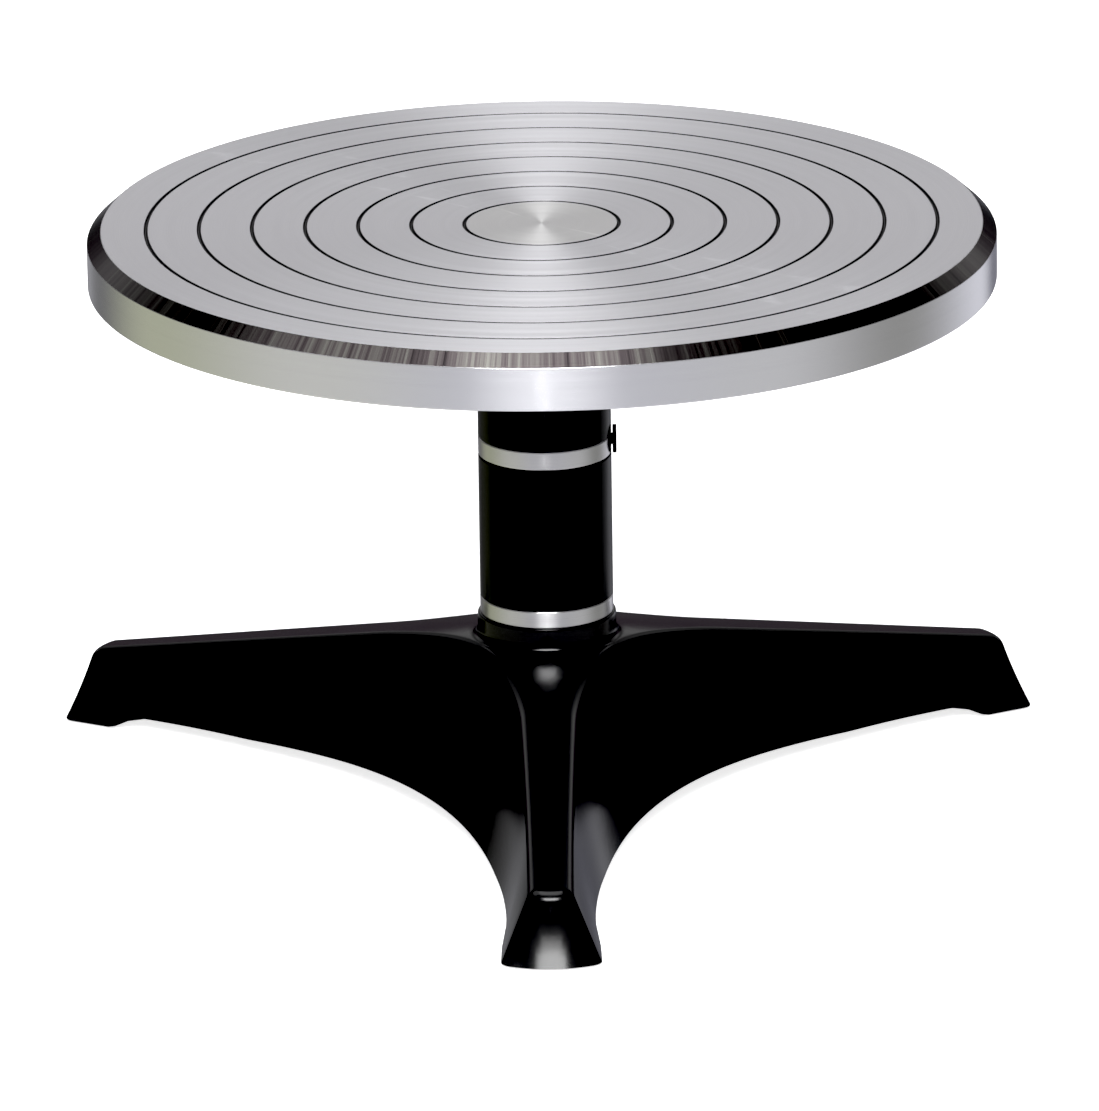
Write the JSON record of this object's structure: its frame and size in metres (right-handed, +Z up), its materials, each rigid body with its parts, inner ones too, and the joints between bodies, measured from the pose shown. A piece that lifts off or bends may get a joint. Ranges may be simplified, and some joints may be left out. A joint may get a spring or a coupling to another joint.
{
  "type": "pottery wheel",
  "caption": "Hand-turned bench pottery wheel: a grooved, bevelled aluminium wheel head on ball bearings, a black column with bright rings, and a gloss black cast tripod base.",
  "frame": {"origin": "on the wheel's axis, in the plane of the three foot pads' undersides", "axes": "+Z up along the wheel's axis; -Y along the front arm of the base; +X towards the lock screw"},
  "size_m": [0.3274, 0.334, 0.1965],
  "materials": {
    "turned_aluminium": "turned, fine concentric lines, satin; bevel darkened",
    "ring_aluminium": "turned, satin",
    "black_enamel": "gloss stoved enamel over a smooth casting",
    "black_sleeve": "black anodised tube, semi-gloss",
    "foot_rubber": "matt moulded rubber",
    "ground_steel": "ground and turned, lightly oiled",
    "plated_steel": "zinc plated",
    "bearing_steel": "ground bearing steel",
    "shield_steel": "pressed sheet steel",
    "cage_brass": "stamped, satin",
    "seal_felt": "pressed wool felt",
    "black_oxide_steel": "black oxide, semi-gloss",
    "spring_steel": "phosphated spring steel",
    "pad_brass": "turned"
  },
  "bodies": {
    "base": {"base_casting": "black_enamel", "foot_pad_front": "foot_rubber", "foot_pad_right": "foot_rubber", "foot_pad_left": "foot_rubber", "spindle": "ground_steel", "base_washer": "plated_steel", "base_nut": "plated_steel", "column_core": "ring_aluminium", "column_sleeve": "black_sleeve", "felt_seal": "seal_felt", "lower_inner_race": "bearing_steel", "upper_inner_race": "bearing_steel", "inner_spacer": "ground_steel", "top_washer": "plated_steel", "top_locknut": "plated_steel"},
    "wheel": {"wheel_head": "turned_aluminium", "bearing_housing": "ring_aluminium", "hub_sleeve": "black_sleeve", "flange_screws": "black_oxide_steel", "lower_outer_race": "bearing_steel", "upper_outer_race": "bearing_steel", "outer_spacer": "ground_steel", "bore_circlip": "spring_steel", "lower_bearing_shields": "shield_steel", "upper_bearing_shields": "shield_steel"},
    "lower_cage": {"lower_ball_cage": "cage_brass", "lower_balls": "bearing_steel"},
    "upper_cage": {"upper_ball_cage": "cage_brass", "upper_balls": "bearing_steel"},
    "lock_pad": {"lock_pad": "pad_brass"},
    "lock_screw": {"lock_screw": "black_oxide_steel"}
  },
  "joints": [
    {"name": "wheel_spin", "type": "hinge", "parent": "base", "child": "wheel", "pos_m": [0, 0, 0.1965], "axis": [0, 0, 1], "continuous": true},
    {"name": "lower_cage_spin", "type": "hinge", "parent": "base", "child": "lower_cage", "pos_m": [0, 0, 0.1325], "axis": [0, 0, 1], "continuous": true},
    {"name": "upper_cage_spin", "type": "hinge", "parent": "base", "child": "upper_cage", "pos_m": [0, 0, 0.1685], "axis": [0, 0, 1], "continuous": true},
    {"name": "lock_feed", "type": "slide", "parent": "wheel", "child": "lock_pad", "axis": [1, 0, 0], "range_m": [-0.0003, 0.0025]},
    {"name": "lock_turn", "type": "hinge", "parent": "lock_pad", "child": "lock_screw", "pos_m": [0.02, 0, 0.1218], "axis": [1, 0, 0], "range_deg": [-155, 1287]}
  ],
  "couplings": [
    {"joint": "lower_cage_spin", "follows": "wheel_spin", "ratio": 0.619},
    {"joint": "upper_cage_spin", "follows": "wheel_spin", "ratio": 0.619},
    {"joint": "lock_turn", "follows": "lock_feed", "rad_per_m": 8976}
  ]
}
